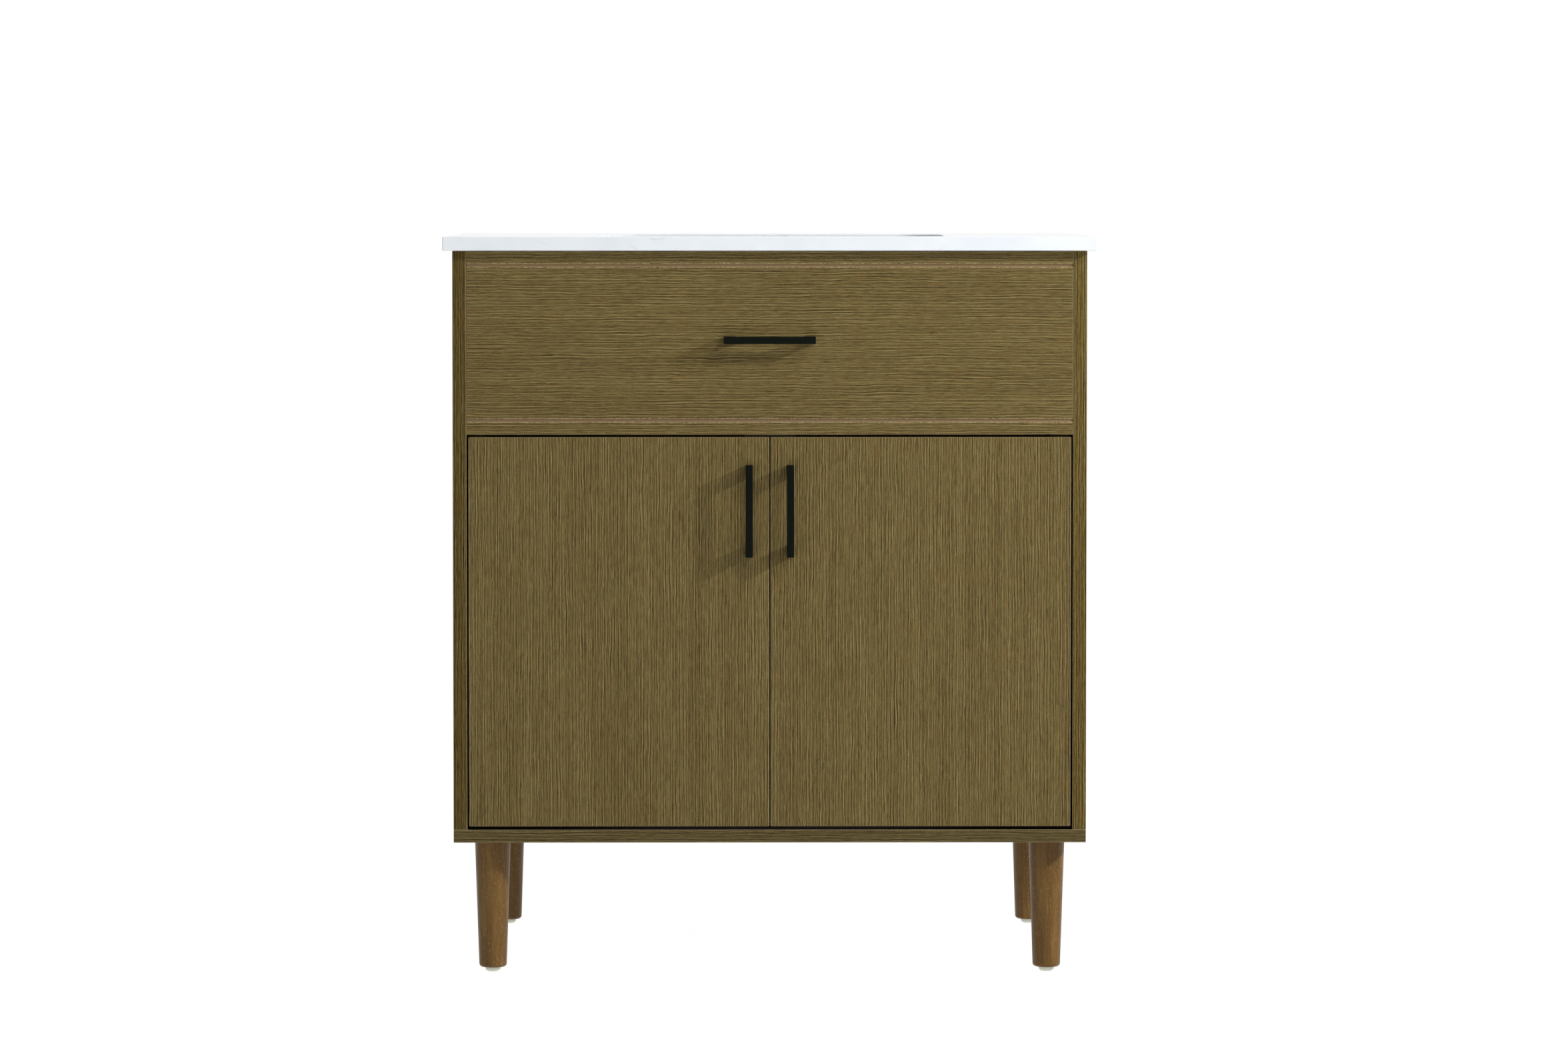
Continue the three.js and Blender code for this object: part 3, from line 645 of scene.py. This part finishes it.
def screw_mesh(radius):
    """A countersunk screw head with a cross recess, its top at z = 0 and facing +Z."""
    thin, deep = radius * 0.17, radius * 0.42
    arm = radius * 0.62
    cross = [
        (arm, thin), (thin, thin), (thin, arm), (-thin, arm), (-thin, thin), (-arm, thin),
        (-arm, -thin), (-thin, -thin), (-thin, -arm), (thin, -arm), (thin, -thin), (arm, -thin),
    ]
    bm = bmesh.new()
    steps = 36
    turns = [2 * math.pi * (i + 0.5) / steps for i in range(steps)]
    rim = [bm.verts.new((radius * math.cos(t), radius * math.sin(t), 0)) for t in turns]
    lip = [bm.verts.new((x, y, 0)) for x, y in cross]
    pit = [bm.verts.new((x * 0.8, y * 0.8, -deep)) for x, y in cross]
    shank, under = radius * 0.45, radius * 0.9
    tip = [bm.verts.new((shank * math.cos(t), shank * math.sin(t), -under)) for t in turns]
    edges = []
    for loop in (rim, lip):
        edges += [bm.edges.new((loop[i], loop[(i + 1) % len(loop)])) for i in range(len(loop))]
    bmesh.ops.triangle_fill(bm, edges=edges, use_beauty=True)
    for loop, other in ((lip, pit), (tip, rim)):
        for i in range(len(loop)):
            j = (i + 1) % len(loop)
            bm.faces.new((loop[i], loop[j], other[j], other[i]))
    bm.faces.new(pit)
    bm.faces.new(reversed(tip))
    mesh = mesh_from(bm, f"screw_head_{round(radius / MM * 10)}")
    mesh.materials.append(ZINC)
    return mesh


def screw(name, mesh, position, facing, body, twist=0.0):
    """Places one screw head with its recess facing along a direction."""
    piece = place_piece(name, mesh, ZINC, body)
    turn = Vector(facing).to_track_quat("Z", "Y").to_matrix().to_4x4()
    piece.matrix_world = Matrix.Translation(position) @ turn @ Matrix.Rotation(math.radians(twist), 4, "Z")


def rounded_block(name, low, high, material, body, round_edge):
    """A small moulded or pressed block between two corners, with rounded edges."""
    bm = bmesh.new()
    bmesh.ops.create_cube(bm, size=1.0)
    size, middle = high - low, (low + high) / 2
    bmesh.ops.scale(bm, verts=bm.verts, vec=size)
    bmesh.ops.translate(bm, verts=bm.verts, vec=middle)
    bmesh.ops.bevel(bm, geom=bm.edges[:], offset=round_edge, segments=3, affect="EDGES", profile=0.5)
    place_piece(name, mesh_from(bm, name), material, body)


def hinge_screws(side, sign, small, large):
    """The screws in each hinge: two in the cup's wings, two in the plate and one in the arm."""
    wing, plate_reach, arm_rise, arm_end = 23 * MM, 15 * MM, 2.5 * MM, 12 * MM
    for level in LEVELS:
        cup_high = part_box(f"hinge_cup_{side}_{level}")[1]
        plate_low, plate_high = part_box(f"hinge_plate_{side}_{level}")
        arm_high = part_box(f"hinge_arm_{side}_{level}")[1]
        cup, plate = centre_of(f"hinge_cup_{side}_{level}"), centre_of(f"hinge_plate_{side}_{level}")
        inner = plate_low.x if sign > 0 else plate_high.x
        for tag, up in (("a", 1), ("b", -1)):
            place = (cup.x, cup_high.y + PROUD, cup.z + up * wing)
            screw(f"cup_screw_{side}_{level}_{tag}", small, place, (0, 1, 0), f"{side}_door", 20 * up)
            place = (inner - sign * PROUD, plate.y, plate.z + up * plate_reach)
            screw(f"plate_screw_{side}_{level}_{tag}", large, place, (-sign, 0, 0), "cabinet", 35 * up)
        heel = inner - sign * (arm_rise + PROUD)
        place = (heel, arm_high.y - arm_end, plate.z)
        screw(f"arm_screw_{side}_{level}", large, place, (-sign, 0, 0), "cabinet", 10)


def door_fittings(side, sign, small, large):
    """Pull screws and the strike plate's screw inside the door, and two bumpers near its free edge."""
    pull_low, pull_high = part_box(f"door_pull_{side}")
    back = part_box(f"door_{side}")[1].y
    for tag, z in (("a", pull_low.z + PULL_POST / 2), ("b", pull_high.z - PULL_POST / 2)):
        place = (centre_of(f"door_pull_{side}").x, back + PROUD, z)
        screw(f"pull_screw_{side}_{tag}", large, place, (0, 1, 0), f"{side}_door", 15)
    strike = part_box(f"strike_plate_{side}")[1].y
    place = centre_of(f"strike_plate_{side}")
    screw(f"strike_screw_{side}", small, (place.x, strike + PROUD, place.z), (0, 1, 0), f"{side}_door", 40)
    door_low, door_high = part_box(f"door_{side}")
    from_middle, from_end = 9 * MM, 10 * MM
    x = sign * from_middle
    for tag, z in (("low", door_low.z + from_end), ("high", door_high.z - from_end)):
        bm = lathe([(4 * MM, 0), (3.9 * MM, 0.5 * MM), (3.3 * MM, 1.2 * MM), (2 * MM, 1.6 * MM)], 32)
        bmesh.ops.rotate(bm, verts=bm.verts, cent=(0, 0, 0), matrix=Matrix.Rotation(-math.pi / 2, 3, "X"))
        bmesh.ops.translate(bm, verts=bm.verts, vec=(x, back, z))
        name = f"bumper_{side}_{tag}"
        place_piece(name, mesh_from(bm, name), NYLON, f"{side}_door")


def runner_fittings(side, sign, small):
    """Screws through the outer member's web, and the ball cages that ride with the middle member."""
    outer_low, outer_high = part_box(f"runner_outer_{side}")
    middle_low, middle_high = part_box(f"runner_middle_{side}")
    web_thickness, head_depth = 1.5 * MM, 0.2 * MM
    cage_from, cage_length, cage_width, cage_height = 215 * MM, 150 * MM, 5.2 * MM, 1.2 * MM
    cage_gap = 0.9 * MM
    web = (outer_high.x if sign > 0 else outer_low.x) - sign * web_thickness
    for tag, share in (("a", 0.12), ("b", 0.5), ("c", 0.88)):
        y = outer_low.y + share * (outer_high.y - outer_low.y)
        place = (web - sign * head_depth, y, centre_of(f"runner_outer_{side}").z)
        screw(f"runner_screw_{side}_{tag}", small, place, (-sign, 0, 0), "cabinet", 25)
    for tag, z in (("low", middle_low.z - cage_gap), ("high", middle_high.z + cage_gap)):
        x = centre_of(f"runner_middle_{side}").x
        low = Vector((x - cage_width / 2, middle_low.y + cage_from, z - cage_height / 2))
        high = low + Vector((cage_width, cage_length, cage_height))
        rounded_block(f"ball_cage_{side}_{tag}", low, high, NYLON, f"{side}_runner", 0.3 * MM)


def drawer_fittings(large):
    """The screws that hold the pull and the front to the drawer box."""
    from_side, from_edge = 60 * MM, 30 * MM
    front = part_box("drawer_box_front")[1].y
    pull_low, pull_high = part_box("drawer_pull")
    z = centre_of("drawer_pull").z
    for tag, x in (("a", pull_low.x + PULL_POST / 2), ("b", pull_high.x - PULL_POST / 2)):
        screw(f"drawer_pull_screw_{tag}", large, (x, front + PROUD, z), (0, 1, 0), "drawer", 30)
    box_low, box_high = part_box("drawer_box_front")
    for tag, x in (("left", box_low.x + from_side), ("right", box_high.x - from_side)):
        for row, height in (("low", box_low.z + from_edge), ("high", box_high.z - from_edge)):
            screw(f"front_screw_{tag}_{row}", large, (x, front + PROUD, height), (0, 1, 0), "drawer", 50)


def sink_fittings(small):
    """The clips' screws, and a bead of sealant where the bowl meets the slab's underside."""
    low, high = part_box("sink")
    from_end, clip_sheet = 8 * MM, 3 * MM
    for side, sign in SIDES:
        for end in ENDS:
            clip_low, clip_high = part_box(f"sink_clip_{side}_{end}")
            x = (clip_high.x if sign > 0 else clip_low.x) - sign * from_end
            place = (x, (clip_low.y + clip_high.y) / 2, high.z - clip_sheet - PROUD)
            screw(f"clip_screw_{side}_{end}", small, place, (0, 0, -1), "cabinet", 15)
    middle = (low + high) / 2
    width, depth, corner = BOWL_CUT["width"], BOWL_CUT["depth"], BOWL_CUT["round"]
    back, face = 1.6 * MM, 0.3 * MM
    bead = rounded_rectangle(width + 2 * back, depth + 2 * back, corner + back, 16)
    inner = rounded_rectangle(width + 2 * face, depth + 2 * face, corner + face, 16)
    bm = bmesh.new()
    rings = [[(middle.x + x, middle.y + y, high.z + z) for x, y in turn]
             for turn, z in ((bead, -1.6 * MM), (bead, -0.05 * MM), (inner, -0.05 * MM), (inner, -0.7 * MM))]
    skin_rings(bm, rings, closed=True)
    place_piece("sealant_bead", mesh_from(bm, "sealant_bead"), NYLON, "cabinet")


def back_fixings(small):
    """Screws that hold the back panel to the side panels."""
    low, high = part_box("back_panel")
    from_side, from_end, rows = 10 * MM, 40 * MM, 5
    spacing = (high.z - low.z - 2 * from_end) / (rows - 1)
    for side, sign in SIDES:
        for row in range(rows):
            place = (sign * (high.x - from_side), high.y + 0.1 * MM, low.z + from_end + row * spacing)
            screw(f"back_screw_{side}_{row}", small, place, (0, 1, 0), "cabinet", 30 * row)


def hardware():
    small_head, large_head = 2.9 * MM, 3.8 * MM
    small, large = screw_mesh(small_head), screw_mesh(large_head)
    for side, sign in SIDES:
        hinge_screws(side, sign, small, large)
        door_fittings(side, sign, small, large)
        runner_fittings(side, sign, small)
    drawer_fittings(large)
    sink_fittings(small)
    back_fixings(small)


# ---------------------------------------------------------------- stage, lights and camera

FLOOR_GLOW, FLOOR_TONE, FLOOR_REACH = 0.99, 0.05, 60
HORIZON, SKY = 1.0, 0.26
BAND_FROM, BAND_TO = 6, 14
KEY = {"place": (2.83, -1.43, 1.94), "size": 0.24, "power": 100, "aim": (0, 0, 0.45)}
SOFT = {"place": (1.6, -1.9, 2.6), "size": 1.0, "power": 34, "aim": (0, 0, 0.45)}
TOP = {"place": (0, 0.2, 2.7), "size": 1.0, "power": 11, "aim": (0, 0.2, 0)}
CAMERA = {"place": (-0.025, -7.225, 0.925), "lens": 137.15, "down": 2.706, "right": 0.342, "shift": -0.035}


def stage():
    look = Look("stage_floor", Roughness=0.9, Specular_IOR_Level=0.0)
    tone = look.noise(look.place, (1.5, 1.5, 1.5), 2.0)
    shades = [(at, (value, value, value, 1)) for at, value in ((0.3, FLOOR_TONE * 0.98), (0.7, FLOOR_TONE))]
    look.put(look.shader, "Base Color", look.ramp(tone, shades))
    look.put(look.shader, "Emission Color", (1, 1, 1, 1))
    look.put(look.shader, "Emission Strength", FLOOR_GLOW)
    bm = bmesh.new()
    bmesh.ops.create_grid(bm, x_segments=8, y_segments=8, size=FLOOR_REACH)
    mesh = bpy.data.meshes.new("floor")
    bm.to_mesh(mesh)
    bm.free()
    mesh.materials.append(look.material)
    floor = bpy.data.objects.new("floor", mesh)
    bpy.context.scene.collection.objects.link(floor)


def area_light(name, setting, shape):
    data = bpy.data.lights.new(name, "AREA")
    data.shape = shape
    data.size = setting["size"]
    data.energy = setting["power"]
    lamp = bpy.data.objects.new(name, data)
    lamp.location = setting["place"]
    lamp.rotation_mode = "QUATERNION"
    lamp.rotation_quaternion = (Vector(setting["place"]) - Vector(setting["aim"])).to_track_quat("Z", "Y")
    bpy.context.scene.collection.objects.link(lamp)


def lights():
    world = bpy.data.worlds.new("studio")
    world.use_nodes = True
    tree = world.node_tree
    direction = tree.nodes.new("ShaderNodeTexCoord")
    parts = tree.nodes.new("ShaderNodeSeparateXYZ")
    fade = tree.nodes.new("ShaderNodeMapRange")
    fade.inputs["From Min"].default_value = math.sin(math.radians(BAND_FROM))
    fade.inputs["From Max"].default_value = math.sin(math.radians(BAND_TO))
    fade.inputs["To Min"].default_value = HORIZON
    fade.inputs["To Max"].default_value = SKY
    tree.links.new(direction.outputs["Generated"], parts.inputs[0])
    tree.links.new(parts.outputs["Z"], fade.inputs["Value"])
    tree.links.new(fade.outputs["Result"], tree.nodes["Background"].inputs["Strength"])
    tree.nodes["Background"].inputs["Color"].default_value = (1, 1, 1, 1)
    bpy.context.scene.world = world
    area_light("key", KEY, "DISK")
    area_light("soft", SOFT, "SQUARE")
    area_light("top", TOP, "SQUARE")


def camera():
    data = bpy.data.cameras.new("camera")
    data.sensor_width = 36
    data.lens = CAMERA["lens"]
    data.shift_y = CAMERA["shift"]
    eye = bpy.data.objects.new("camera", data)
    eye.location = CAMERA["place"]
    down, right = math.radians(CAMERA["down"]), math.radians(CAMERA["right"])
    ahead = Vector((math.sin(right) * math.cos(down), math.cos(right) * math.cos(down), -math.sin(down)))
    eye.rotation_mode = "QUATERNION"
    eye.rotation_quaternion = ahead.to_track_quat("-Z", "Y")
    bpy.context.scene.collection.objects.link(eye)
    bpy.context.scene.camera = eye
    bpy.context.scene.view_settings.view_transform = "Standard"


dress_frame()
fine_pieces()
hardware()
stage()
lights()
camera()
